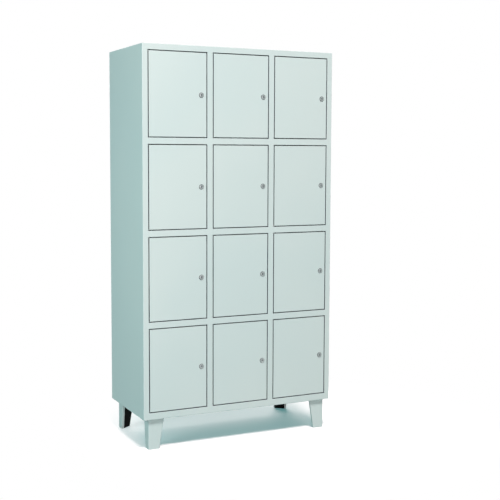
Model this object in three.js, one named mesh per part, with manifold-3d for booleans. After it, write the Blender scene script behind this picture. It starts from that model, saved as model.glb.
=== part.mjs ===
import * as THREE from 'three';
import { mergeVertices } from 'three/addons/utils/BufferGeometryUtils.js';
import { ConvexGeometry } from 'three/addons/geometries/ConvexGeometry.js';
import Module from 'manifold-3d';

// A sheet-steel locker with twelve compartments on four pressed feet.
// Millimetres, +Z up, the fronts of the doors face -Y, and the origin is on the floor under the middle.

// Overall size of the body, without its feet
const columns = 3;
const rows = 4;
const bodyWidth = 1028;
const bodyHeight = 1800;
const bodyDepth = 495;
const footHeight = 150;

// Face widths of the front grid
const outerStile = 28;
const middleStile = 30;
const topRail = 29;
const middleRail = 31;
const bottomRail = 34;

// Sheet and folds of the body
const bodySheet = 1;
const backSheet = 0.8;
const railReturn = 18;
const stileOverRail = 2;
const backFlange = 15;

// Doors
const doorSheet = 1;
const doorGap = 4;
const doorDepth = 18;
const doorLip = 10;

// Hinge pins of the doors
const hingeInset = 9;
const hingeDepth = 6;
const pinRadius = 2.5;
const pinGrip = 12;
const pinReach = 4;
const shoulderRadius = 4;

// Locks
const lockInset = 27;
const collarRadius = 12.5;
const collarThickness = 2;
const collarChamfer = 1.2;
const housingRadius = 9;
const plugRadius = 6.3;
const plugRecess = 0.5;
const keywayWidth = 2.6;
const keywayHeight = 9.5;
const keywayDepth = 6;
const camLength = 38;
const camWidth = 16;
const camSheet = 2;
const camRunning = 2;
const housingRunning = 1;

// Feet
const footInsetSide = 28;
const footInsetFront = 12;
const footInsetBack = 28;
const footSheet = 2;
const footFaceTop = 80;
const footFaceFloor = 56;
const footSideTop = 66;
const footSideFloor = 46;
const footLip = 12;

// Clearances, cuts and roundness
const fitGap = 0.3;
const overrun = 5;
const bendSteps = 1;
const pinFacets = 12;
const lockFacets = 20;

// Places that follow from the sizes above
const halfWidth = bodyWidth / 2;
const bodyTop = footHeight + bodyHeight;
const openingWidth = (bodyWidth - 2 * outerStile - (columns - 1) * middleStile) / columns;
const openingHeight = (bodyHeight - topRail - bottomRail - (rows - 1) * middleRail) / rows;
const stileReturn = railReturn + stileOverRail;
const backInner = bodyDepth - bodySheet - backSheet;
const doorWidth = openingWidth - 2 * doorGap;
const doorHeight = openingHeight - 2 * doorGap;
const camFront = stileReturn + camRunning;
const housingBack = camFront - housingRunning;

const wasm = await Module();
wasm.setup();

// Turns a closed three.js geometry into a solid that can be joined and cut.
function solid(geometry) {
  geometry.deleteAttribute('normal');
  geometry.deleteAttribute('uv');
  const merged = mergeVertices(geometry);
  return new wasm.Manifold(new wasm.Mesh({
    numProp: 3,
    vertProperties: merged.attributes.position.array,
    triVerts: new Uint32Array(merged.index.array),
  }));
}

// Gives a solid back as a geometry.
function surface(body) {
  const mesh = body.getMesh();
  const geometry = new THREE.BufferGeometry();
  geometry.setAttribute('position', new THREE.BufferAttribute(mesh.vertProperties, 3));
  geometry.setIndex(new THREE.BufferAttribute(mesh.triVerts, 1));
  geometry.computeVertexNormals();
  return geometry;
}

function outline(points) {
  return new THREE.Shape(points.map(([u, v]) => new THREE.Vector2(u, v)));
}

function extrusion(shape, depth) {
  return new THREE.ExtrudeGeometry(shape, { depth, bevelEnabled: false, curveSegments: bendSteps });
}

// An (x, y) shape extruded upwards from one height to another.
function prismZ(shape, from, to) {
  return solid(extrusion(shape, to - from).translate(0, 0, from));
}

// A (y, z) shape extruded across from one x to another.
function prismX(shape, from, to) {
  const left = Math.min(from, to);
  const across = new THREE.Matrix4().makeBasis(
    new THREE.Vector3(0, 1, 0),
    new THREE.Vector3(0, 0, 1),
    new THREE.Vector3(1, 0, 0),
  );
  return solid(extrusion(shape, Math.abs(to - from)).applyMatrix4(across).translate(left, 0, 0));
}

// An (x, z) shape extruded backwards from one y to another.
function prismY(shape, from, to) {
  const back = Math.max(from, to);
  return solid(extrusion(shape, Math.abs(to - from)).rotateX(Math.PI / 2).translate(0, back, 0));
}

function block(x, y, z) {
  const geometry = new THREE.BoxGeometry(x[1] - x[0], y[1] - y[0], z[1] - z[0]);
  return solid(geometry.translate((x[0] + x[1]) / 2, (y[0] + y[1]) / 2, (z[0] + z[1]) / 2));
}

function rodY(radius, from, to, facets) {
  const rod = new THREE.CylinderGeometry(radius, radius, to - from, facets);
  return solid(rod.translate(0, (from + to) / 2, 0));
}

function rodZ(radius, from, to, facets) {
  const rod = new THREE.CylinderGeometry(radius, radius, to - from, facets);
  return solid(rod.rotateX(Math.PI / 2).translate(0, 0, (from + to) / 2));
}

// Section of a sheet that folds the same way at each corner.
// The points run along its outer face, with the inside of the folds on their left.
function foldedSheet(points, sheet) {
  const corners = points.map(([u, v]) => new THREE.Vector2(u, v));
  const inwards = corners.slice(1).map((corner, i) => {
    const along = corner.clone().sub(corners[i]).normalize();
    return new THREE.Vector2(-along.y, along.x).multiplyScalar(sheet);
  });
  const last = corners.length - 1;
  const inner = corners.map((corner, i) => {
    const point = corner.clone();
    if (i > 0) point.add(inwards[i - 1]);
    if (i < last) point.add(inwards[i]);
    return point;
  });
  const section = [corners[0]];
  for (let i = 1; i < last; i += 1) {
    const start = inwards[i - 1].clone().negate().angle();
    const end = inwards[i].clone().negate().angle();
    const bend = new THREE.EllipseCurve(inner[i].x, inner[i].y, sheet, sheet, start, end, false);
    section.push(...bend.getPoints(bendSteps));
  }
  section.push(corners[last], ...inner.reverse());
  return new THREE.Shape(section);
}

function mirrored(points) {
  return points.map(([u, v]) => [-u, v]).reverse();
}

// Left edge of an opening, and the height of its lower edge above the floor.
function openingLeft(column) {
  return outerStile - halfWidth + column * (openingWidth + middleStile);
}

function openingBottom(row) {
  return bodyTop - topRail - (row + 1) * openingHeight - row * middleRail;
}

// Side panel: wall, outer stile with its return, and the folded back edge.
function sidePanel(side) {
  const points = [
    [backFlange - halfWidth, bodyDepth],
    [-halfWidth, bodyDepth],
    [-halfWidth, 0],
    [outerStile - halfWidth, 0],
    [outerStile - halfWidth, stileReturn],
  ];
  const panel = prismZ(foldedSheet(side < 0 ? points : mirrored(points), bodySheet), footHeight, bodyTop);
  const ends = [
    [footHeight - overrun, footHeight + bodySheet + fitGap],
    [bodyTop - bodySheet - fitGap, bodyTop + overrun],
  ];
  const pocket = [halfWidth - outerStile - overrun, halfWidth - bodySheet];
  const across = side < 0 ? [-pocket[1], -pocket[0]] : pocket;
  return ends.reduce(
    (body, end) => body.subtract(block(across, [bodySheet, stileReturn + overrun], end)),
    panel,
  );
}

// Hole for a hinge pin, cut through the rail flanges of one opening.
function pinHole(left, from, to) {
  const hole = rodZ(pinRadius + fitGap, from, to, pinFacets);
  return hole.translate([left + doorGap + hingeInset, hingeDepth, 0]);
}

// Top or bottom panel: the folded middle between the side stiles, and a plain strip at each side.
function endPanel(points, plate, flange) {
  const inside = halfWidth - outerStile;
  const strip = [bodySheet, bodyDepth - bodySheet];
  const middle = prismX(foldedSheet(points, bodySheet), -inside, inside);
  const left = block([bodySheet - halfWidth, overrun - inside], strip, plate);
  const right = block([inside - overrun, halfWidth - bodySheet], strip, plate);
  let panel = middle.add(left).add(right);
  for (let column = 0; column < columns; column += 1) {
    panel = panel.subtract(pinHole(openingLeft(column), flange - overrun, flange + overrun));
  }
  return panel;
}

function topPanel() {
  const points = [
    [bodyDepth, bodyTop - backFlange],
    [bodyDepth, bodyTop],
    [0, bodyTop],
    [0, bodyTop - topRail],
    [railReturn, bodyTop - topRail],
  ];
  return endPanel(points, [bodyTop - bodySheet, bodyTop], bodyTop - topRail);
}

function bottomPanel() {
  const points = [
    [railReturn, footHeight + bottomRail],
    [0, footHeight + bottomRail],
    [0, footHeight],
    [bodyDepth, footHeight],
    [bodyDepth, footHeight + backFlange],
  ];
  return endPanel(points, [footHeight, footHeight + bodySheet], footHeight + bottomRail);
}

function backPanel() {
  return block(
    [bodySheet - halfWidth, halfWidth - bodySheet],
    [backInner, backInner + backSheet],
    [footHeight + bodySheet, bodyTop - bodySheet],
  );
}

// Partition: middle stile folded from the front edge, and the wall that runs on to the back.
// Its wall is flush with the hinge side of the column on its right.
function partition(column) {
  const right = openingLeft(column + 1);
  const points = [
    [right - middleStile, stileReturn],
    [right - middleStile, 0],
    [right, 0],
    [right, backInner],
  ];
  const stile = prismZ(foldedSheet(points, bodySheet), footHeight + bottomRail, bodyTop - topRail);
  const wall = block(
    [right - bodySheet, right],
    [railReturn + fitGap, backInner],
    [footHeight + bodySheet, bodyTop - bodySheet],
  );
  return stile.add(wall);
}

// Shelf of one column: the middle rail with its return, the plate behind it, and the pin holes.
// Its own left, front and top are at zero.
function shelf(column) {
  const left = openingLeft(column);
  const leftWall = column > 0 ? 0 : bodySheet - halfWidth - left;
  const rightStile = column < columns - 1 ? middleStile : outerStile;
  const rightWall = openingWidth + rightStile - bodySheet;
  const points = [
    [backInner, 0],
    [0, 0],
    [0, -middleRail],
    [railReturn, -middleRail],
  ];
  const rail = prismX(foldedSheet(points, bodySheet), 0, openingWidth);
  const plate = block([leftWall, rightWall], [stileReturn + fitGap, backInner], [-bodySheet, 0]);
  return rail.add(plate).subtract(pinHole(0, -middleRail - overrun, overrun));
}

// Door: a pan with folded sides and lips, and a welded pin at each end of its hinge edge.
// Its lower left front corner is at zero.
function door() {
  const edge = doorSheet;
  const face = outline([
    [edge, edge],
    [doorWidth - edge, edge],
    [doorWidth - edge, doorHeight - edge],
    [edge, doorHeight - edge],
  ]);
  const rounded = new THREE.ExtrudeGeometry(face, {
    depth: doorDepth,
    bevelThickness: edge,
    bevelSize: edge,
    bevelSegments: 2 * bendSteps,
  });
  const blank = solid(rounded.rotateX(Math.PI / 2).translate(0, doorDepth + edge, 0));
  const behind = block(
    [-overrun, doorWidth + overrun],
    [doorDepth, doorDepth + 2 * edge + overrun],
    [-overrun, doorHeight + overrun],
  );
  const hollow = block(
    [doorSheet, doorWidth - doorSheet],
    [doorSheet, doorDepth - doorSheet],
    [doorSheet, doorHeight - doorSheet],
  );
  const mouth = block(
    [doorLip, doorWidth - doorLip],
    [doorDepth - 2 * doorSheet, doorDepth + overrun],
    [doorLip, doorHeight - doorLip],
  );
  const lockHole = rodY(housingRadius + fitGap, -overrun, doorSheet + overrun, lockFacets)
    .translate([doorWidth - lockInset, 0, doorHeight / 2]);
  const reach = doorGap + bodySheet + pinReach;
  const pins = [
    rodZ(pinRadius, doorHeight - pinGrip, doorHeight + reach, pinFacets),
    rodZ(pinRadius, -reach, pinGrip, pinFacets),
    rodZ(shoulderRadius, fitGap - doorGap, doorSheet / 2, pinFacets),
  ];
  return pins.reduce(
    (body, pin) => body.add(pin.translate([hingeInset, hingeDepth, 0])),
    blank.subtract(behind).subtract(hollow).subtract(mouth).subtract(lockHole),
  );
}

// Lock housing: chamfered collar on the door's face and a threaded barrel through it, bored for the plug.
function lockHousing() {
  const bore = plugRadius + fitGap;
  const profile = [
    [bore, -collarThickness],
    [collarRadius - collarChamfer, -collarThickness],
    [collarRadius, collarChamfer - collarThickness],
    [collarRadius, 0],
    [housingRadius, 0],
    [housingRadius, housingBack],
    [bore, housingBack],
    [bore, -collarThickness],
  ];
  return solid(new THREE.LatheGeometry(outline(profile).getPoints(), lockFacets));
}

// Lock plug with its keyway, and the cam on its end. The cam hangs down when the lock is open.
function lockPlug() {
  const front = plugRecess - collarThickness;
  const camBack = camFront + camSheet;
  const plug = rodY(plugRadius, front, camBack, lockFacets);
  const keyway = block(
    [-keywayWidth / 2, keywayWidth / 2],
    [front - overrun, front + keywayDepth],
    [-keywayHeight / 2, keywayHeight / 2],
  );
  const round = camWidth / 2;
  const camShape = new THREE.Shape();
  camShape.absarc(0, 0, round, 0, Math.PI, false);
  camShape.lineTo(-round, round / 2 - camLength);
  camShape.lineTo(-round / 2, -camLength);
  camShape.lineTo(round / 2, -camLength);
  camShape.lineTo(round, round / 2 - camLength);
  const cam = solid(new THREE.ExtrudeGeometry(camShape, { depth: camSheet, bevelEnabled: false, curveSegments: 4 })
    .rotateX(Math.PI / 2).translate(0, camBack, 0));
  return plug.subtract(keyway).add(cam);
}

// Foot: two tapered flanges, a lip along each slanting edge and a plate under the body.
// Its outer corner stands at zero, and the signs say which way it opens.
function foot(alongX, alongY) {
  const across = (points) => outline(points.map(([u, v]) => [u * alongX, v]));
  const deep = (points) => outline(points.map(([u, v]) => [u * alongY, v]));
  const slantFace = [[footFaceFloor, 0], [footFaceTop, footHeight]];
  const slantSide = [[footSideFloor, 0], [footSideTop, footHeight]];
  const flange = (slant) => [[0, 0], ...slant, [0, footHeight]];
  const lip = ([low, high]) => [low, high, [high[0] - footSheet, high[1]], [low[0] - footSheet, low[1]]];
  const plate = outline([
    [0, 0],
    [footFaceTop * alongX, 0],
    [footFaceTop * alongX, footLip * alongY],
    [footLip * alongX, footSideTop * alongY],
    [0, footSideTop * alongY],
  ]);
  return prismY(across(flange(slantFace)), 0, footSheet * alongY)
    .add(prismX(deep(flange(slantSide)), 0, footSheet * alongX))
    .add(prismY(across(lip(slantFace)), 0, footLip * alongY))
    .add(prismX(deep(lip(slantSide)), 0, footLip * alongX))
    .add(prismZ(plate, footHeight - footSheet, footHeight));
}

// Corner block of a foot, from lip to lip, standing on the floor under the foot's plate.
function footBlock(alongX, alongY) {
  const wall = footSheet + fitGap;
  const height = footHeight - wall;
  const ringAt = (share, z) => {
    const face = THREE.MathUtils.lerp(footFaceFloor, footFaceTop, share) - wall;
    const side = THREE.MathUtils.lerp(footSideFloor, footSideTop, share) - wall;
    const corners = [[wall, wall], [face, wall], [face, footLip], [footLip, side], [wall, side]];
    return corners.map(([x, y]) => new THREE.Vector3(x * alongX, y * alongY, z));
  };
  return solid(new ConvexGeometry([...ringAt(0, 0), ...ringAt(height / footHeight, height)]));
}

function paintedSteel() {
  return new THREE.MeshStandardMaterial({ color: 0xd3dfdc, roughness: 0.45, metalness: 0 });
}

function chromedBrass() {
  return new THREE.MeshStandardMaterial({ color: 0xc9cdce, roughness: 0.2, metalness: 1 });
}

function platedSteel() {
  return new THREE.MeshStandardMaterial({ color: 0xb4b8b9, roughness: 0.35, metalness: 1 });
}

function blackPlastic() {
  return new THREE.MeshStandardMaterial({ color: 0x141516, roughness: 0.6, metalness: 0 });
}

function piece(name, geometry, material, x = 0, y = 0, z = 0) {
  const mesh = new THREE.Mesh(geometry, material);
  mesh.name = name;
  mesh.position.set(x, y, z);
  return mesh;
}

// Everything below is placed from the front plane, which lies a collar's thickness behind the locks' faces.
const locker = new THREE.Group();
locker.position.y = (collarThickness - bodyDepth) / 2;

const paint = paintedSteel();
locker.add(
  piece('side_panel_left', surface(sidePanel(-1)), paint),
  piece('side_panel_right', surface(sidePanel(1)), paint),
  piece('top_panel', surface(topPanel()), paint),
  piece('bottom_panel', surface(bottomPanel()), paint),
  piece('back_panel', surface(backPanel()), paint),
);

for (let column = 0; column < columns - 1; column += 1) {
  locker.add(piece(`partition_c${column + 1}`, surface(partition(column)), paint));
}

for (let column = 0; column < columns; column += 1) {
  const plate = surface(shelf(column));
  for (let row = 0; row < rows - 1; row += 1) {
    const name = `shelf_r${row + 1}c${column + 1}`;
    locker.add(piece(name, plate, paint, openingLeft(column), 0, openingBottom(row)));
  }
}

const doorSurface = surface(door());
const housingSurface = surface(lockHousing());
const plugSurface = surface(lockPlug());
const chrome = chromedBrass();
const plated = platedSteel();
for (let row = 0; row < rows; row += 1) {
  for (let column = 0; column < columns; column += 1) {
    const label = `r${row + 1}c${column + 1}`;
    const leaf = new THREE.Group();
    leaf.position.set(openingLeft(column) + doorGap, 0, openingBottom(row) + doorGap);
    const lockX = doorWidth - lockInset;
    const lockZ = doorHeight / 2;
    leaf.add(
      piece(`door_${label}`, doorSurface, paint),
      piece(`lock_housing_${label}`, housingSurface, chrome, lockX, 0, lockZ),
      piece(`lock_plug_${label}`, plugSurface, plated, lockX, 0, lockZ),
    );
    locker.add(leaf);
  }
}

const black = blackPlastic();
const footX = halfWidth - footInsetSide;
const footPlaces = [
  ['front_left', -footX, footInsetFront],
  ['front_right', footX, footInsetFront],
  ['back_left', -footX, bodyDepth - footInsetBack],
  ['back_right', footX, bodyDepth - footInsetBack],
];
for (const [place, x, y] of footPlaces) {
  const alongX = -Math.sign(x);
  const alongY = place.startsWith('front') ? 1 : -1;
  locker.add(
    piece(`foot_${place}`, surface(foot(alongX, alongY)), paint, x, y),
    piece(`foot_block_${place}`, surface(footBlock(alongX, alongY)), black, x, y),
  );
}

export default locker;
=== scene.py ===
# Metal locker with twelve compartments: the looks of every piece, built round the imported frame.
import math

import bmesh
import bpy
from mathutils import Matrix, Vector


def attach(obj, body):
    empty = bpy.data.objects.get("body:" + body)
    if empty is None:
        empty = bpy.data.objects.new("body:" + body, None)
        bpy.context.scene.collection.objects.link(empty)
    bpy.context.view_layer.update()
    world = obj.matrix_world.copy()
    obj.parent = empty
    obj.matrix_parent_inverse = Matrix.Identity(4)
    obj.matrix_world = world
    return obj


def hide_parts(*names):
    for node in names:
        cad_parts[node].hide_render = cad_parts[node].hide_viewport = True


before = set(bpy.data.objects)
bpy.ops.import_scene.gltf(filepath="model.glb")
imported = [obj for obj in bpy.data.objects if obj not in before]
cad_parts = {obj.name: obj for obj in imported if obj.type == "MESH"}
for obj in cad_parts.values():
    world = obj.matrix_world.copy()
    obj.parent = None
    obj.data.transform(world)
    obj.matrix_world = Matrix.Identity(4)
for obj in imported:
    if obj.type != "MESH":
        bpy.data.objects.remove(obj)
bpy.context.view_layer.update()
scene = bpy.context.scene
print("frame loaded with", len(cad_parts), "nodes")

mm = 0.001        # pieces are sized in millimetres, the camera and the studio in metres
near = 0.01       # how close two places have to be to count as the same
joined = 0.0001   # how close two corners have to be to become one
straight = 0.99   # how much of a direction has to lie along an axis to count as along it

# Camera: where the photograph was taken from
view = {
    "place": (-2.0865, -4.6505, 1.4329),
    "lens": 70.826,
    "sensor": 36,
    "shiftUp": -0.03,
    "yaw": 25.882,        # degrees from straight ahead, to the right
    "pitch": -4.699,
    "roll": 0.212,
}


def makeCamera():
    data = bpy.data.cameras.new("camera")
    data.lens = view["lens"]
    data.sensor_width = view["sensor"]
    data.shift_y = view["shiftUp"]
    camera = bpy.data.objects.new("camera", data)
    scene.collection.objects.link(camera)
    turn = (Matrix.Rotation(math.radians(-view["yaw"]), 4, "Z")
            @ Matrix.Rotation(math.radians(90 + view["pitch"]), 4, "X")
            @ Matrix.Rotation(math.radians(view["roll"]), 4, "Z"))
    camera.matrix_world = Matrix.Translation(view["place"]) @ turn
    scene.camera = camera


makeCamera()
print("camera placed")


# Shader maths
class Value:
    # A node's output. Sums, products and comparisons of values add Math nodes.
    def __init__(self, graph, output):
        self.graph = graph
        self.output = output

    def other(self, name):
        return Value(self.graph, self.output.node.outputs[name])

    def maths(self, operation, first, second=0.0):
        return self.graph.node("Math", {"operation": operation}, {0: first, 1: second})

    def __add__(self, other):
        return self.maths("ADD", self, other)

    def __radd__(self, other):
        return self.maths("ADD", other, self)

    def __sub__(self, other):
        return self.maths("SUBTRACT", self, other)

    def __rsub__(self, other):
        return self.maths("SUBTRACT", other, self)

    def __mul__(self, other):
        return self.maths("MULTIPLY", self, other)

    def __rmul__(self, other):
        return self.maths("MULTIPLY", other, self)

    def __gt__(self, other):
        return self.maths("GREATER_THAN", self, other)

    def __lt__(self, other):
        return self.maths("LESS_THAN", self, other)


class Graph:
    # The nodes of one material, or of the world.
    def __init__(self, owner):
        owner.use_nodes = True
        self.owner = owner
        self.tree = owner.node_tree
        self.tree.nodes.clear()

    def node(self, kind, settings=None, sockets=None, out=0):
        made = self.tree.nodes.new("ShaderNode" + kind)
        for name, value in (settings or {}).items():
            setattr(made, name, value)
        for name, value in (sockets or {}).items():
            if isinstance(value, Value):
                self.tree.links.new(value.output, made.inputs[name])
            else:
                made.inputs[name].default_value = value
        return Value(self, made.outputs[out]) if made.outputs else made

    def coordinates(self, place):
        # x, y and z in millimetres
        scaled = self.node("VectorMath", {"operation": "SCALE"}, {0: place, "Scale": 1 / mm})
        across = self.node("SeparateXYZ", {}, {"Vector": scaled})
        return across, across.other("Y"), across.other("Z")

    def noise(self, place, scale, detail):
        return self.node("TexNoise", {}, {"Vector": place, "Scale": scale, "Detail": detail})

    def between(self, value, low, high, start=0.0, end=1.0):
        return self.node("MapRange", {"interpolation_type": "SMOOTHSTEP"}, {
            "Value": value, "From Min": low, "From Max": high, "To Min": start, "To Max": end})

    def blendColours(self, share, first, second):
        return self.node("Mix", {"data_type": "RGBA"}, {0: share, 6: first, 7: second}, out=2)

    def bump(self, height, depth, under=None):
        sockets = {"Height": height, "Distance": depth}
        if under is not None:
            sockets["Normal"] = under
        return self.node("Bump", {}, sockets)

    def finish(self, shader, kind="OutputMaterial"):
        self.node(kind, {}, {"Surface": shader})
        return self.owner


def colour(red, green, blue):
    # a colour as a picture editor gives it, turned into linear light
    def linear(part):
        part /= 255
        return part / 12.92 if part <= 0.04045 else ((part + 0.055) / 1.055) ** 2.4
    return (linear(red), linear(green), linear(blue), 1.0)


# Finishes: their places are in millimetres, from the sizes of the pieces further down
fullSwing = (0.3, 0.7)      # the part of a noise's range that a change of tone runs over
quickSwing = (0.35, 0.65)


def blend(first, second, share):
    return first * share + second * (1 - share)


powderCoat = {
    "cool": colour(201, 219, 216),
    "warm": colour(207, 222, 218),
    "drift": (1.6, 2),          # a noise's scale and detail
    "driftShare": 0.8,
    "roughLow": 0.40,
    "roughHigh": 0.50,
    "roughShare": 0.5,
    "peel": (330, 1.5),         # the skin of the coat, about 3 mm from crest to crest
    "peelDepth": 0.00005,       # bumps are deep in metres
    "speck": (1500, 1),
    "speckDepth": 0.00001,
    "wave": (2.4, 1),           # the slight wave of a large sheet
    "waveDepth": 0.0010,
    # the narrow faces on both sides of the door gaps get painted shade: the tone stands for the little
    # light there
    "gapShadeTone": colour(60, 68, 84),
    "gapShares": (0.97, 0.88),      # of the carcass's faces and of the doors'
    "gapMiddle": (16.3, 18.3),      # from a stile's or rail's middle to where one meets the other
    "gapReach": 20,
    "gapFrom": (0.2, 0.6),          # behind the front, where the darker tone begins
    "gapTo": (17, 20),              # and where it ends
    "sideMargin": 19,               # the outer faces of the body have none of it
    "topMargin": 20,
    "bottomMargin": 30,
}


def toNearest(value, middle, step):
    offset = value - middle
    return offset.maths("PINGPONG", offset, step / 2)


def paintedGapShade(graph, place):
    # how much painted shade the faces of the door gaps get, 0 elsewhere
    across, inward, level = graph.coordinates(place)
    inward = inward - front
    toStile = toNearest(across, lefts[0] - carcass["middleStile"] / 2,
                        openingWidth + carcass["middleStile"])
    toRail = toNearest(level, bottoms[0] - carcass["middleRail"] / 2,
                       openingHeight + carcass["middleRail"])
    away = toStile.maths("MINIMUM", toStile, toRail)
    share = graph.between(away, *powderCoat["gapMiddle"], *powderCoat["gapShares"])
    begun = graph.between(inward, *powderCoat["gapFrom"])
    ended = graph.between(inward, *powderCoat["gapTo"])
    inside = across.maths("ABSOLUTE", across) < halfWidth - powderCoat["sideMargin"]
    inside = inside * (level < bodyTop - powderCoat["topMargin"])
    inside = inside * (level > carcass["floorGap"] + powderCoat["bottomMargin"])
    return share * (away < powderCoat["gapReach"]) * begun * (1 - ended) * inside


def powderCoatMaterial():
    graph = Graph(bpy.data.materials.new("powderCoat"))
    place = graph.node("TexCoord", out="Object")
    drift = graph.noise(place, *powderCoat["drift"])
    peel = graph.noise(place, *powderCoat["peel"])
    speck = graph.noise(place, *powderCoat["speck"])
    wave = graph.noise(place, *powderCoat["wave"])
    tone = graph.between(blend(drift, peel, powderCoat["driftShare"]), *fullSwing)
    shade = graph.blendColours(tone, powderCoat["cool"], powderCoat["warm"])
    # painted shade on the faces inside the door gaps
    shade = graph.blendColours(paintedGapShade(graph, place), shade, powderCoat["gapShadeTone"])
    dull = blend(peel, drift, powderCoat["roughShare"])
    rough = graph.between(dull, *fullSwing, powderCoat["roughLow"], powderCoat["roughHigh"])
    skin = graph.bump(wave, powderCoat["waveDepth"])
    skin = graph.bump(peel, powderCoat["peelDepth"], under=skin)
    skin = graph.bump(speck, powderCoat["speckDepth"], under=skin)
    return graph.finish(graph.node("BsdfPrincipled", {}, {
        "Base Color": shade, "Roughness": rough, "Normal": skin}))


bright = {
    "light": colour(218, 228, 227),
    "dark": colour(198, 210, 209),
    "rim": colour(50, 58, 60),          # painted reflection: stands for the darker room that the rounded rim mirrors
    "rimFrom": (0.02, 0.14),            # behind the collar's flat face
    "rimTo": 0.1,                       # behind the face of the door
    "roughLow": 0.28,
    "roughHigh": 0.40,
    "smudge": (260, 3),
    "scratch": (900, 2),
    "scratchStretch": (1, 1, 9),
    "scratchDepth": 0.000006,
}


def chromeMaterial():
    graph = Graph(bpy.data.materials.new("lockChrome"))
    place = graph.node("TexCoord", out="Object")
    smudge = graph.noise(place, *bright["smudge"])
    drawn = graph.node("VectorMath", {"operation": "MULTIPLY"}, {0: place, 1: bright["scratchStretch"]})
    scratch = graph.noise(drawn, *bright["scratch"])
    shade = graph.blendColours(graph.between(smudge, *quickSwing), bright["dark"], bright["light"])
    inward = graph.coordinates(place)[1] - front
    # painted reflection: the collar's rounded rim and the bore's bevel, between its flat face and the
    # door, are darkened
    rimReflection = graph.between(inward - lock["collarFront"], *bright["rimFrom"]) * (inward < bright["rimTo"])
    shade = graph.blendColours(rimReflection, shade, bright["rim"])
    rough = graph.between(smudge, *fullSwing, bright["roughLow"], bright["roughHigh"])
    skin = graph.bump(scratch, bright["scratchDepth"])
    return graph.finish(graph.node("BsdfPrincipled", {}, {
        "Base Color": shade, "Metallic": 1.0, "Roughness": rough, "Normal": skin}))


zinc = {
    "grey": colour(204, 214, 213),
    "blue": colour(192, 204, 206),
    "straw": colour(206, 210, 199),
    "roughLow": 0.26,
    "roughHigh": 0.42,
    "roughShare": 0.6,
    "cloud": (90, 3),
    "tint": (36, 1),
    "tintFrom": (0.5, 0.75),
    "tintMost": 0.6,
    "brush": (700, 2),
    "brushStretch": (1, 6, 1),
    "brushDepth": 0.00001,
    # painted shade: faces from 0.6 to 12 mm behind the plug's face are near black, covering the inside
    # of the keyhole and the hidden side of the plug; the hinge pins lie at that depth and take it too
    "depthShadeTone": colour(12, 13, 13),
    "keyholeFrom": 0.6,         # behind the face of the plug
    "keyholeTo": 12,
}


def zincMaterial():
    graph = Graph(bpy.data.materials.new("zincPlate"))
    place = graph.node("TexCoord", out="Object")
    inward = graph.coordinates(place)[1] - front
    cloud = graph.noise(place, *zinc["cloud"])
    tint = graph.noise(place, *zinc["tint"])
    drawn = graph.node("VectorMath", {"operation": "MULTIPLY"}, {0: place, 1: zinc["brushStretch"]})
    brush = graph.noise(drawn, *zinc["brush"])
    shade = graph.blendColours(graph.between(cloud, *quickSwing), zinc["grey"], zinc["blue"])
    yellowed = graph.between(tint, *zinc["tintFrom"], 0.0, zinc["tintMost"])
    shade = graph.blendColours(yellowed, shade, zinc["straw"])
    sunk = inward - lock["plugFront"]
    # painted shade deep in the keyhole, which reaches the hinge pins too
    inDepthShade = (sunk > zinc["keyholeFrom"]) * (sunk < zinc["keyholeTo"])
    shade = graph.blendColours(inDepthShade, shade, zinc["depthShadeTone"])
    dull = blend(cloud, brush, zinc["roughShare"])
    rough = graph.between(dull, *fullSwing, zinc["roughLow"], zinc["roughHigh"])
    skin = graph.bump(brush, zinc["brushDepth"])
    return graph.finish(graph.node("BsdfPrincipled", {}, {
        "Base Color": shade, "Metallic": 1.0, "Roughness": rough, "Normal": skin}))


plastic = {
    "black": colour(9, 9, 10),
    "grey": colour(15, 15, 16),
    "roughLow": 0.55,
    "roughHigh": 0.72,
    "roughShare": 0.5,
    "shine": 0.06,
    "grain": (1100, 1),
    "grainDepth": 0.00004,
    "flow": (30, 2),
}


def plasticMaterial():
    graph = Graph(bpy.data.materials.new("mouldedPlastic"))
    place = graph.node("TexCoord", out="Object")
    grain = graph.noise(place, *plastic["grain"])
    flow = graph.noise(place, *plastic["flow"])
    shade = graph.blendColours(graph.between(flow, *fullSwing), plastic["black"], plastic["grey"])
    dull = blend(flow, grain, plastic["roughShare"])
    rough = graph.between(dull, *fullSwing, plastic["roughLow"], plastic["roughHigh"])
    return graph.finish(graph.node("BsdfPrincipled", {}, {
        "Base Color": shade, "Roughness": rough, "Specular IOR Level": plastic["shine"],
        "Normal": graph.bump(grain, plastic["grainDepth"])}))


# Modelling helpers
def middleOf(edge):
    return (edge.verts[0].co + edge.verts[1].co) / 2


def runsAlong(edge, axis):
    way = (edge.verts[1].co - edge.verts[0].co).normalized()
    return abs(way[axis]) > straight


def addSheet(bm, width, height, turn, centre):
    # a flat sheet that faces where the turn takes +Z
    place = Matrix.Translation(centre) @ turn @ Matrix.Diagonal((width, height, 1, 1))
    bmesh.ops.create_grid(bm, x_segments=1, y_segments=1, size=0.5, matrix=place)


facingFront = Matrix.Rotation(math.radians(90), 4, "X")
facingRight = Matrix.Rotation(math.radians(90), 4, "Y")


def cut(bm, place, across, geometry=None):
    geometry = geometry or bm.verts[:] + bm.edges[:] + bm.faces[:]
    bmesh.ops.bisect_plane(bm, geom=geometry, dist=joined, plane_co=place, plane_no=across)


def extrudeEdges(bm, edges, move):
    # returns the new corners, and the new edges that run as the old ones do
    made = bmesh.ops.extrude_edge_only(bm, edges=edges)["geom"]
    corners = [part for part in made if isinstance(part, bmesh.types.BMVert)]
    far = [part for part in made if isinstance(part, bmesh.types.BMEdge)]
    bmesh.ops.translate(bm, vec=move, verts=corners)
    return corners, far


def bendEdges(bm, edges, radius, steps):
    bmesh.ops.bevel(bm, geom=edges, offset=radius, offset_type="OFFSET", affect="EDGES",
                    segments=steps, profile=0.5, material=-1, clamp_overlap=True)


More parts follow.
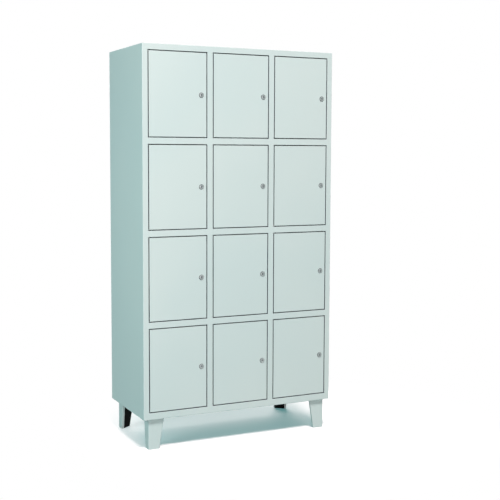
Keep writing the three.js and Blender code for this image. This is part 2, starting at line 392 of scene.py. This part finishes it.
def sharpEdges(bm, over=60):
    return [edge for edge in bm.edges
            if len(edge.link_faces) == 2 and edge.calc_face_angle() > math.radians(over)]


def endRims(corners, axis):
    # the edges round both ends of a new straight solid, which are those across its axis
    edges = dict.fromkeys(edge for corner in corners for edge in corner.link_edges)
    return [edge for edge in edges if len(edge.link_faces) == 2 and not runsAlong(edge, axis)]


def raiseFaces(bm, faces, move):
    # thickens flat faces into a solid, and returns its new corners
    made = bmesh.ops.extrude_face_region(bm, geom=faces)["geom"]
    corners = [part for part in made if isinstance(part, bmesh.types.BMVert)]
    bmesh.ops.translate(bm, vec=move, verts=corners)
    return corners


def faceRound(bm, centre, axis):
    # the flat face across the axis that holds a point
    flat = [way for way in range(3) if way != axis]
    for face in bm.faces:
        if abs(face.normal[axis]) < straight or abs(face.verts[0].co[axis] - centre[axis]) > near:
            continue
        spans = {way: [vert.co[way] for vert in face.verts] for way in flat}
        if all(min(span) < centre[way] < max(span) for way, span in spans.items()):
            return face
    raise ValueError("no face at " + str(tuple(centre)))


def roundCut(bm, centre, axis, radius, margin, steps=4, dent=0):
    # a square is cut round the place and its inner corners are set out on a circle,
    # which is left open, or pushed in as a dent
    centre = Vector(centre)
    for way in range(3):
        if way == axis:
            continue
        for side in (-margin, margin):
            face = faceRound(bm, centre, axis)
            offset, across = Vector(), Vector()
            offset[way], across[way] = side, 1
            cut(bm, centre + offset, across, [face, *face.edges, *face.verts])
    face = faceRound(bm, centre, axis)
    bmesh.ops.subdivide_edges(bm, edges=face.edges[:], cuts=steps - 1)
    bmesh.ops.inset_individual(bm, faces=[face], thickness=margin / 4)
    for vert in face.verts:
        vert.co = centre + (vert.co - centre).normalized() * radius
        vert.co[axis] += dent
    if not dent:
        bmesh.ops.delete(bm, geom=[face], context="FACES_ONLY")


def turnedProfile(bm, profile, steps):
    # turns a closed outline of (radius, depth) points round the y axis
    corners = [bm.verts.new((radius, depth, 0)) for radius, depth in profile]
    edges = [bm.edges.new(pair) for pair in zip([corners[-1], *corners], corners)]
    bmesh.ops.spin(bm, geom=corners + edges, cent=(0, 0, 0), axis=(0, 1, 0), dvec=(0, 0, 0),
                   angle=math.tau, steps=steps, use_merge=True)


def faceOutwards(bm):
    bmesh.ops.remove_doubles(bm, verts=bm.verts, dist=joined)
    bmesh.ops.recalc_face_normals(bm, faces=bm.faces)


def makePiece(name, bm, material, body, nodes, wall=None, smooth=None, place=(0, 0, 0)):
    bmesh.ops.translate(bm, vec=place, verts=bm.verts)
    bmesh.ops.scale(bm, vec=(mm, mm, mm), verts=bm.verts)
    mesh = bpy.data.meshes.new(name)
    bm.to_mesh(mesh)
    bm.free()
    mesh.materials.append(material)
    if smooth:
        mesh.shade_smooth()
        mesh.set_sharp_from_angle(angle=math.radians(smooth))
    piece = bpy.data.objects.new(name, mesh)
    scene.collection.objects.link(piece)
    if wall:
        solidify = piece.modifiers.new("sheet", "SOLIDIFY")
        solidify.thickness = wall * mm
        solidify.offset = -1
    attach(piece, body)
    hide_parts(*nodes)


# Carcass: side, top and bottom panels, partitions and shelves
carcass = {
    "width": 1028,
    "height": 1800,
    "depth": 495,
    "floorGap": 150,
    "front": -246.5,
    "columns": 3,
    "rows": 4,
    "outerStile": 28,
    "middleStile": 30,
    "topRail": 29,
    "middleRail": 31,
    "bottomRail": 34,
    "railReturn": 18,
    "stileReturn": 20,
    "backFlange": 15,
    "backInner": 493.2,
    "sheet": 1,
    "fold": 1.5,
    "foldSteps": 3,
    "weldRadius": 2.6,
    "weldDent": 0.35,
    "weldSquare": 4.5,
    "weldsUp": 10,
    "weldsAcross": 7,
    "weldShift": 0.7,       # from the middle of the flange towards the middle of the back
    "weldEnd": 60,
    "weldSpan": 880,
    "shelfClear": 0.3,
}
halfWidth = carcass["width"] / 2
front = carcass["front"]
bodyTop = carcass["floorGap"] + carcass["height"]
middleHeight = carcass["floorGap"] + carcass["height"] / 2
openingWidth = (carcass["width"] - 2 * carcass["outerStile"]
                - (carcass["columns"] - 1) * carcass["middleStile"]) / carcass["columns"]
openingHeight = (carcass["height"] - carcass["topRail"] - carcass["bottomRail"]
                 - (carcass["rows"] - 1) * carcass["middleRail"]) / carcass["rows"]
lefts = [carcass["outerStile"] - halfWidth + column * (openingWidth + carcass["middleStile"])
         for column in range(carcass["columns"])]
bottoms = [bodyTop - carcass["topRail"] - (row + 1) * openingHeight - row * carcass["middleRail"]
           for row in range(carcass["rows"])]

# The door's sizes stand before the carcass's code, which makes the holes for the hinge pins
door = {
    "gap": 4,
    "depth": 18,
    "lip": 10,
    "sheet": 1,
    "fold": 1,
    "foldSteps": 3,
    "lockInset": 27,
    "lockHole": 9.3,
    "lockSquare": 12,
    "lockSteps": 6,
    "hingeInset": 9,
    "hingeDepth": 6,
    "pinRadius": 2.5,
    "pinGrip": 12,
    "pinReach": 9,
    "pinTip": 0.8,
    "pinSteps": 24,
    "pinHole": 2.8,
    "pinSquare": 4,
    "pinSmooth": 40,
    "shoulderRadius": 4,
    "shoulderLow": -3.7,
    "shoulderHigh": 0.5,
    "shoulderTip": 0.4,
}
doorWidth = openingWidth - 2 * door["gap"]
doorHeight = openingHeight - 2 * door["gap"]


def inOpening(point):
    return (any(left < point.x < left + openingWidth for left in lefts)
            and any(bottom < point.z < bottom + openingHeight for bottom in bottoms))


def carcassSkin():
    # the outer faces of the whole body: front grid, rims of the openings, walls and back flange
    bm = bmesh.new()
    addSheet(bm, carcass["width"], carcass["height"], facingFront, (0, front, middleHeight))
    for left in lefts:
        cut(bm, (left, 0, 0), (1, 0, 0))
        cut(bm, (left + openingWidth, 0, 0), (1, 0, 0))
    for bottom in bottoms:
        cut(bm, (0, 0, bottom), (0, 0, 1))
        cut(bm, (0, 0, bottom + openingHeight), (0, 0, 1))
    holes = [face for face in bm.faces if inOpening(face.calc_center_median())]
    bmesh.ops.delete(bm, geom=holes, context="FACES")

    borders = [edge for edge in bm.edges if edge.is_boundary]
    outer = [edge for edge in borders if abs(middleOf(edge).x) > halfWidth - near
             or abs(middleOf(edge).z - middleHeight) > carcass["height"] / 2 - near]
    rims = [edge for edge in borders if edge not in outer]
    far = extrudeEdges(bm, rims, (0, carcass["railReturn"], 0))[1]
    uprights = [edge for edge in far if runsAlong(edge, 2)]
    extrudeEdges(bm, uprights, (0, carcass["stileReturn"] - carcass["railReturn"], 0))

    far = extrudeEdges(bm, outer, (0, carcass["depth"], 0))[1]
    corners = extrudeEdges(bm, far, (0, 0, 0))[0]
    flange = 2 * carcass["backFlange"]
    shrink = (1 - flange / carcass["width"], 1, 1 - flange / carcass["height"])
    bmesh.ops.scale(bm, vec=shrink, space=Matrix.Translation((0, 0, -middleHeight)), verts=corners)

    bmesh.ops.recalc_face_normals(bm, faces=bm.faces)
    folds = [edge for edge in sharpEdges(bm)
             if not runsAlong(edge, 1) or abs(middleOf(edge).x) > halfWidth - near]
    bendEdges(bm, folds, carcass["fold"], carcass["foldSteps"])
    return bm


def cutPinHoles(bm):
    for left in lefts:
        for bottom in bottoms:
            for level in (bottom, bottom + openingHeight):
                centre = (left + door["gap"] + door["hingeInset"], front + door["hingeDepth"], level)
                roundCut(bm, centre, 2, door["pinHole"], door["pinSquare"])


def pressWelds(bm):
    # spot welds along the middle of the back flange
    back = front + carcass["depth"]
    inset = carcass["backFlange"] / 2 + carcass["weldShift"]
    stepUp = (carcass["height"] - 2 * carcass["weldEnd"]) / (carcass["weldsUp"] - 1)
    stepAcross = carcass["weldSpan"] / (carcass["weldsAcross"] - 1)
    places = []
    for number in range(carcass["weldsUp"]):
        level = carcass["floorGap"] + carcass["weldEnd"] + number * stepUp
        places += [(halfWidth - inset, back, level), (inset - halfWidth, back, level)]
    for number in range(carcass["weldsAcross"]):
        across = number * stepAcross - carcass["weldSpan"] / 2
        places += [(across, back, bodyTop - inset), (across, back, carcass["floorGap"] + inset)]
    for place in places:
        roundCut(bm, place, 1, carcass["weldRadius"], carcass["weldSquare"], dent=-carcass["weldDent"])


def ownerOf(point):
    # the CAD node that a face of the skin belongs to
    fromSide = halfWidth - abs(point.x)
    fromEnd = carcass["height"] / 2 - abs(point.z - middleHeight)
    side = "side_panel_right" if point.x > 0 else "side_panel_left"
    end = "top_panel" if point.z > middleHeight else "bottom_panel"
    if point.y > front + carcass["stileReturn"] + near:
        return side if fromSide <= fromEnd + near else end
    if fromSide < carcass["outerStile"] + near:
        return side
    if point.z > bodyTop - carcass["topRail"] - near or point.z < bottoms[-1] + near:
        return end
    for column, left in enumerate(lefts[1:]):
        if left - carcass["middleStile"] - near < point.x < left + near:
            return f"partition_c{column + 1}"
    column = sum(point.x > left for left in lefts)
    row = sum(point.z < bottom + near for bottom in bottoms)
    return f"shelf_r{row}c{column}"


def addPartitionWall(bm, column):
    start, end = carcass["stileReturn"], carcass["backInner"]
    height = carcass["height"] - 2 * carcass["sheet"]
    centre = (lefts[column], front + (start + end) / 2, middleHeight)
    addSheet(bm, height, end - start, facingRight, centre)


def addShelfPlate(bm, row, column):
    level = bottoms[row - 1]
    inner = front + carcass["railReturn"]
    flat = [edge for edge in bm.edges if edge.is_boundary and runsAlong(edge, 0)
            and abs(middleOf(edge).z - level) < near and abs(middleOf(edge).y - inner) < near]
    extrudeEdges(bm, flat, (0, carcass["backInner"] - carcass["railReturn"], 0))
    clear = front + carcass["stileReturn"] + carcass["shelfClear"]
    cut(bm, (0, clear, 0), (0, 1, 0))
    toWall = carcass["outerStile"] - carcass["sheet"]
    reach = {
        -1: toWall if column == 1 else 0,
        1: toWall if column == carcass["columns"] else carcass["middleStile"] - carcass["sheet"],
    }
    middle = lefts[column - 1] + openingWidth / 2
    for side, length in reach.items():
        if length:
            ends = [edge for edge in bm.edges if edge.is_boundary and runsAlong(edge, 1)
                    and middleOf(edge).y > clear
                    and (middleOf(edge).x - middle) * side > openingWidth / 2 - near]
            extrudeEdges(bm, ends, (side * length, 0, 0))


def makeCarcass():
    skin = carcassSkin()
    cutPinHoles(skin)
    pressWelds(skin)
    bmesh.ops.recalc_face_normals(skin, faces=skin.faces)
    owners = [ownerOf(face.calc_center_median()) for face in skin.faces]
    for node in sorted(set(owners)):
        part = skin.copy()
        others = [face for face, owner in zip(part.faces[:], owners) if owner != node]
        bmesh.ops.delete(part, geom=others, context="FACES")
        if node.startswith("partition"):
            addPartitionWall(part, int(node[-1]))
        if node.startswith("shelf"):
            addShelfPlate(part, int(node[-3]), int(node[-1]))
        makePiece(node + "_sheet", part, paint, "carcass", [node], wall=carcass["sheet"])
    skin.free()
    # the back panel is one flat sheet, so its CAD solid is shown as it is
    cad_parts["back_panel"].material_slots[0].material = paint


paint = powderCoatMaterial()
makeCarcass()
print("carcass made")


# Doors and their hinge pins
def doorPan():
    # lower left front corner at zero
    bm = bmesh.new()
    addSheet(bm, doorWidth, doorHeight, facingFront, (doorWidth / 2, 0, doorHeight / 2))
    far = extrudeEdges(bm, bm.edges[:], (0, door["depth"], 0))[1]
    corners = extrudeEdges(bm, far, (0, 0, 0))[0]
    shrink = (1 - 2 * door["lip"] / doorWidth, 1, 1 - 2 * door["lip"] / doorHeight)
    bmesh.ops.scale(bm, vec=shrink, verts=corners,
                    space=Matrix.Translation((-doorWidth / 2, 0, -doorHeight / 2)))
    bmesh.ops.recalc_face_normals(bm, faces=bm.faces)
    bendEdges(bm, sharpEdges(bm), door["fold"], door["foldSteps"])
    centre = (doorWidth - door["lockInset"], 0, doorHeight / 2)
    roundCut(bm, centre, 1, door["lockHole"], door["lockSquare"], door["lockSteps"])
    bmesh.ops.recalc_face_normals(bm, faces=bm.faces)
    return bm


def addPin(bm, radius, low, high, tip):
    # a round bar on the hinge's axis, with its ends softened
    middle = Matrix.Translation((door["hingeInset"], door["hingeDepth"], (low + high) / 2))
    rod = bmesh.ops.create_cone(bm, cap_ends=True, segments=door["pinSteps"], radius1=radius,
                                radius2=radius, depth=high - low, matrix=middle)["verts"]
    bendEdges(bm, endRims(rod, 2), tip, 2)


def doorPins():
    # the upper pin, the lower pin and the shoulder that the door rests on
    bm = bmesh.new()
    grip, reach = door["pinGrip"], door["pinReach"]
    addPin(bm, door["pinRadius"], doorHeight - grip, doorHeight + reach, door["pinTip"])
    addPin(bm, door["pinRadius"], -reach, grip, door["pinTip"])
    addPin(bm, door["shoulderRadius"], door["shoulderLow"], door["shoulderHigh"], door["shoulderTip"])
    return bm


# Locks: collar and threaded barrel with its nut, plug with keyhole and cam
lock = {
    "steps": 40,
    "smooth": 32,
    "collarRadius": 12.5,
    "collarFront": -2,
    "collarRound": 1.9,
    "collarSteps": 4,
    "boreBevel": 0.2,
    "barrelRadius": 9,
    "barrelBack": 21,
    "threadStart": 5.5,
    "threadPitch": 1.5,
    "threadDepth": 0.5,
    "threads": 10,
    "bore": 6.6,
    "nutAcross": 23,
    "nutFront": 1.2,
    "nutBack": 5.2,
    "nutCuts": 3,           # of each of the six sides
    "nutClear": 0.05,
    "nutSharp": 40,
    "nutRound": 0.6,
    "plugRadius": 6.3,
    "plugFront": -1.5,
    "plugBack": 24,
    "plugRound": 0.35,
    "plugSlack": 0.3,
    "keyholeWidth": 2.6,
    "keyholeHeight": 9.5,
    "keyholeDepth": 6,
    "keyholeCuts": (11, 3),     # of its long and its short sides
    "camWidth": 16,
    "camLength": 38,
    "camFront": 22,
    "camSheet": 2,
    "camSteps": 32,
    "camRound": 0.3,
    # radius, height and sides of the washer and of the bolt's head on it
    "discs": ((5.6, 0.9, 28), (4.6, 3.2, 6)),
    "discRound": 0.25,
}


def collarProfile():
    # (radius, depth) from the bore over the flat face and the rounded rim to the face of the door
    rim, face = lock["collarRadius"] - lock["collarRound"], lock["collarFront"]
    profile = [(lock["bore"], face + lock["boreBevel"]), (lock["bore"] + lock["boreBevel"], face)]
    for step in range(lock["collarSteps"] + 1):
        angle = math.radians(90 * step / lock["collarSteps"])
        profile.append((rim + lock["collarRound"] * math.sin(angle),
                        face + lock["collarRound"] * (1 - math.cos(angle))))
    return profile + [(lock["collarRadius"], 0)]


def lockNut():
    # a hexagon with a round hole, bridged into a flat ring and thickened
    bm = bmesh.new()
    upright = Matrix.Translation((0, lock["nutFront"], 0)) @ facingFront
    corner = lock["nutAcross"] / math.sqrt(3)
    bmesh.ops.create_circle(bm, segments=6, radius=corner, matrix=upright)
    bmesh.ops.subdivide_edges(bm, edges=bm.edges[:], cuts=lock["nutCuts"])
    bmesh.ops.create_circle(bm, segments=6 * (lock["nutCuts"] + 1),
                            radius=lock["barrelRadius"] + lock["nutClear"], matrix=upright)
    ring = bmesh.ops.bridge_loops(bm, edges=bm.edges[:])["faces"]
    raiseFaces(bm, ring, (0, lock["nutBack"] - lock["nutFront"], 0))
    faceOutwards(bm)
    corners = [edge for edge in sharpEdges(bm, lock["nutSharp"]) if runsAlong(edge, 1)]
    bendEdges(bm, corners, lock["nutRound"], 2)
    return bm


def lockHousing():
    # turned round the y axis, with the face of the door at zero
    bm = bmesh.new()
    profile = collarProfile() + [(lock["barrelRadius"], 0)]
    root = lock["barrelRadius"] - lock["threadDepth"]
    for turn in range(lock["threads"]):
        crest = lock["threadStart"] + turn * lock["threadPitch"]
        profile += [(lock["barrelRadius"], crest), (root, crest + lock["threadPitch"] / 2)]
    profile += [(lock["barrelRadius"], lock["barrelBack"]), (lock["bore"], lock["barrelBack"])]
    turnedProfile(bm, profile, lock["steps"])
    faceOutwards(bm)

    nut = lockNut()
    spare = bpy.data.meshes.new("nut")
    nut.to_mesh(spare)
    nut.free()
    bm.from_mesh(spare)
    bpy.data.meshes.remove(spare)
    return bm


def addKeyedPlug(bm):
    # a round bar whose face has the keyhole sunk into it
    upright = Matrix.Translation((0, lock["plugFront"], 0)) @ facingFront
    addSheet(bm, lock["keyholeWidth"], lock["keyholeHeight"], facingFront, (0, lock["plugFront"], 0))
    bmesh.ops.delete(bm, geom=bm.faces[:], context="FACES_ONLY")
    long = [edge for edge in bm.edges if runsAlong(edge, 2)]
    short = [edge for edge in bm.edges if runsAlong(edge, 0)]
    for edges, cuts in zip((long, short), lock["keyholeCuts"]):
        bmesh.ops.subdivide_edges(bm, edges=edges, cuts=cuts)
    slotRim = bm.edges[:]
    bmesh.ops.create_circle(bm, segments=len(slotRim), radius=lock["plugRadius"], matrix=upright)
    circleRim = [edge for edge in bm.edges if edge not in slotRim]
    bmesh.ops.bridge_loops(bm, edges=slotRim + circleRim)
    inside = extrudeEdges(bm, slotRim, (0, lock["keyholeDepth"], 0))[1]
    bmesh.ops.edgeloop_fill(bm, edges=inside)
    behind = extrudeEdges(bm, circleRim, (0, lock["plugBack"] - lock["plugFront"], 0))[1]
    bmesh.ops.edgeloop_fill(bm, edges=behind)
    faceOutwards(bm)
    rim = [edge for edge in sharpEdges(bm) if abs(middleOf(edge).y - lock["plugFront"]) < near
           and middleOf(edge).length > lock["plugRadius"] - lock["plugSlack"]]
    bendEdges(bm, rim, lock["plugRound"], 2)


def addCam(bm):
    # a sheet with a round upper end, drawn out downwards
    halfCam = lock["camWidth"] / 2
    flat = Matrix.Translation((0, lock["camFront"], 0)) @ facingFront
    blank = bmesh.ops.create_circle(bm, segments=lock["camSteps"], radius=halfCam, cap_ends=True,
                                    matrix=flat)["verts"]
    lower = [vert for vert in blank if vert.co.z < -near]
    bmesh.ops.translate(bm, vec=(0, 0, halfCam - lock["camLength"]), verts=lower)
    faces = [face for face in bm.faces if all(vert in blank for vert in face.verts)]
    raised = raiseFaces(bm, faces, (0, lock["camSheet"], 0))
    bendEdges(bm, endRims([*blank, *raised], 1), lock["camRound"], 2)


def lockPlug():
    bm = bmesh.new()
    addKeyedPlug(bm)
    addCam(bm)
    level = lock["camFront"] + lock["camSheet"]
    for radius, height, sides in lock["discs"]:
        place = Matrix.Translation((0, level + height / 2, 0)) @ facingFront
        disc = bmesh.ops.create_cone(bm, cap_ends=True, segments=sides, radius1=radius, radius2=radius,
                                     depth=height, matrix=place)["verts"]
        bendEdges(bm, endRims(disc, 1), lock["discRound"], 2)
        level += height
    faceOutwards(bm)
    return bm


def makeDoors():
    for row, bottom in enumerate(bottoms):
        for column, left in enumerate(lefts):
            label = f"r{row + 1}c{column + 1}"
            corner = (left + door["gap"], front, bottom + door["gap"])
            lockPlace = (corner[0] + doorWidth - door["lockInset"], front, corner[2] + doorHeight / 2)
            leaf, turning = "door_" + label, "plug_" + label
            makePiece("door_pan_" + label, doorPan(), paint, leaf, [leaf],
                      wall=door["sheet"], place=corner)
            makePiece("hinge_pins_" + label, doorPins(), plated, leaf, [leaf],
                      smooth=door["pinSmooth"], place=corner)
            makePiece("lock_barrel_" + label, lockHousing(), chrome, leaf,
                      ["lock_housing_" + label], smooth=lock["smooth"], place=lockPlace)
            makePiece("lock_cam_" + label, lockPlug(), plated, turning,
                      ["lock_plug_" + label], smooth=lock["smooth"], place=lockPlace)


chrome = chromeMaterial()
plated = zincMaterial()
makeDoors()
print("doors and locks made")


# Feet
foot = {
    "height": 150,
    "insetSide": 28,
    "insetFront": 12,
    "insetBack": 28,
    "sheet": 2,
    "faceTop": 80,
    "faceFloor": 56,
    "sideTop": 66,
    "sideFloor": 46,
    "lip": 12,
    "fold": 3.2,
    "foldSteps": 4,
    "blockEdge": 1.5,
    "blockSharp": 30,
}


def footShell():
    # outer corner at zero, the foot opens towards +x and +y
    bm = bmesh.new()
    section = [(foot["faceFloor"], foot["lip"]), (foot["faceFloor"], 0), (0, 0),
               (0, foot["sideFloor"]), (foot["lip"], foot["sideFloor"])]
    corners = [bm.verts.new((x, y, 0)) for x, y in section]
    strip = [bm.edges.new(pair) for pair in zip(corners, corners[1:])]
    upper = extrudeEdges(bm, strip, (0, 0, foot["height"]))[0]
    wide = [vert for vert in upper if vert.co.x > foot["faceFloor"] - near]
    deep = [vert for vert in upper if vert.co.y > foot["sideFloor"] - near]
    bmesh.ops.translate(bm, vec=(foot["faceTop"] - foot["faceFloor"], 0, 0), verts=wide)
    bmesh.ops.translate(bm, vec=(0, foot["sideTop"] - foot["sideFloor"], 0), verts=deep)
    bendEdges(bm, sharpEdges(bm), foot["fold"], foot["foldSteps"])
    facing = max(bm.faces, key=lambda face: face.calc_area())
    bm.normal_update()
    if facing.normal.y > 0:
        bmesh.ops.reverse_faces(bm, faces=bm.faces)
    return bm


def footPlate():
    bm = bmesh.new()
    wall = foot["sheet"]
    corners = [(wall, wall), (foot["faceTop"] - wall, wall), (foot["faceTop"] - wall, foot["lip"]),
               (foot["lip"], foot["sideTop"] - wall), (wall, foot["sideTop"] - wall)]
    blank = bm.faces.new([bm.verts.new((x, y, foot["height"] - wall)) for x, y in corners])
    raiseFaces(bm, [blank], (0, 0, wall))
    faceOutwards(bm)
    return bm


def mergedCopy(node):
    # a CAD node's solid in millimetres, with its corners joined and its flat faces made whole
    bm = bmesh.new()
    bm.from_mesh(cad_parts[node].data)
    bmesh.ops.scale(bm, vec=(1 / mm, 1 / mm, 1 / mm), verts=bm.verts)
    bmesh.ops.remove_doubles(bm, verts=bm.verts, dist=near)
    bmesh.ops.dissolve_limit(bm, angle_limit=math.radians(1), verts=bm.verts, edges=bm.edges)
    return bm


def makeFoot(label, corner):
    mirror = (-1 if corner[0] > 0 else 1, -1 if corner[1] > 0 else 1, 1)
    parts = {"foot_shell_": (footShell(), foot["sheet"]), "foot_plate_": (footPlate(), None)}
    for name, (bm, wall) in parts.items():
        bmesh.ops.scale(bm, vec=mirror, verts=bm.verts)
        if mirror[0] * mirror[1] < 0:
            bmesh.ops.reverse_faces(bm, faces=bm.faces)
        makePiece(name + label, bm, paint, "carcass", ["foot_" + label], wall=wall, place=corner)
    block = mergedCopy("foot_block_" + label)
    bendEdges(block, sharpEdges(block, foot["blockSharp"]), foot["blockEdge"], 2)
    makePiece("foot_corner_" + label, block, black, "carcass", ["foot_block_" + label])


def makeFeet():
    right = halfWidth - foot["insetSide"]
    ends = {"front_": front + foot["insetFront"],
            "back_": front + carcass["depth"] - foot["insetBack"]}
    for end, inward in ends.items():
        makeFoot(end + "left", (-right, inward, 0))
        makeFoot(end + "right", (right, inward, 0))


black = plasticMaterial()
makeFeet()
print("feet made")


# Studio: floor, world and lamps
studio = {
    "floorSize": 60,
    "white": (1.0, 1.0, 1.0, 1.0),
    "floorSeen": (1.05, 0.89, 0.89, 1.0),
    "floorBounce": (0.13, 0.235, 0.235, 1.0),
    "floorGlow": (0.02, 0.17, 0.17, 1.0),
    "fadeMiddle": (0.35, -0.2, 0),      # the floor whitens away from here, so the shadow stays short
    "fadeFrom": 0.70,
    "fadeTo": 1.12,
    "world": (0.05, 0.09, 0.09, 1.0),
    "mirrored": (0.54, 0.56, 0.56, 1.0),    # what gloss and chrome reflect
    "lamps": {
        "high": {"place": (-0.8, -5.1, 11.6), "aim": (0, 0, 1.0), "size": (2.6, 2.6),
                 "power": 1510, "colour": (1.0, 0.93, 0.935)},
        "front": {"place": (-2.4, -6.5, 1.9), "aim": (0, -0.25, 1.0), "size": (2.2, 2.2),
                  "power": 208, "colour": (1.0, 0.80, 0.815)},
        "left": {"place": (-3.4, -0.9, 1.8), "aim": (-0.5, 0, 1.1), "size": (1.8, 1.8),
                 "power": 51, "colour": (0.68, 0.90, 0.92)},
        "back": {"place": (1.1, 3.4, 2.0), "aim": (0.1, 0.2, 0), "size": (3.0, 2.2),
                 "power": 142, "colour": (1.0, 1.0, 1.0)},
    },
}


def shownTo(graph, rays, others, these):
    # one shader for a kind of ray, another for all the rest
    return graph.node("MixShader", {}, {0: graph.node("LightPath", out=rays), 1: others, 2: these})


def emission(graph, shade):
    return graph.node("Emission", {}, {"Color": shade, "Strength": 1.0})


def background(graph, shade):
    return graph.node("Background", {}, {"Color": shade, "Strength": 1.0})


def makeFloor():
    bm = bmesh.new()
    bmesh.ops.create_grid(bm, x_segments=1, y_segments=1, size=studio["floorSize"] / 2)
    mesh = bpy.data.meshes.new("floor")
    bm.to_mesh(mesh)
    bm.free()
    graph = Graph(bpy.data.materials.new("paleFloor"))
    place = graph.node("TexCoord", out="Object")
    offset = graph.node("VectorMath", {"operation": "SUBTRACT"}, {0: place, 1: studio["fadeMiddle"]})
    away = graph.node("VectorMath", {"operation": "LENGTH"}, {0: offset}, out="Value")
    seen = graph.node("BsdfDiffuse", {}, {"Color": studio["floorSeen"]})
    seen = graph.node("AddShader", {}, {0: seen, 1: emission(graph, studio["floorGlow"])})
    faded = graph.between(away, studio["fadeFrom"], studio["fadeTo"])
    seen = graph.node("MixShader", {}, {0: faded, 1: seen, 2: emission(graph, studio["white"])})
    bounce = graph.node("BsdfDiffuse", {}, {"Color": studio["floorBounce"]})
    bounce = shownTo(graph, "Is Glossy Ray", bounce, emission(graph, studio["mirrored"]))
    mesh.materials.append(graph.finish(shownTo(graph, "Is Camera Ray", bounce, seen)))
    floor = bpy.data.objects.new("floor", mesh)
    scene.collection.objects.link(floor)


def makeWorld():
    world = bpy.data.worlds.new("studio")
    scene.world = world
    graph = Graph(world)
    ambient = background(graph, studio["world"])
    ambient = shownTo(graph, "Is Glossy Ray", ambient, background(graph, studio["mirrored"]))
    white = background(graph, studio["white"])
    graph.finish(shownTo(graph, "Is Camera Ray", ambient, white), "OutputWorld")


def makeLamp(name, lamp):
    data = bpy.data.lights.new(name, "AREA")
    data.shape = "RECTANGLE"
    data.size, data.size_y = lamp["size"]
    data.energy = lamp["power"]
    data.color = lamp["colour"]
    light = bpy.data.objects.new(name, data)
    light.location = lamp["place"]
    way = Vector(lamp["aim"]) - Vector(lamp["place"])
    light.rotation_euler = way.to_track_quat("-Z", "Y").to_euler()
    scene.collection.objects.link(light)


makeFloor()
makeWorld()
for lampName, lampSettings in studio["lamps"].items():
    makeLamp(lampName, lampSettings)
scene.view_settings.view_transform = "Standard"
print("studio made")
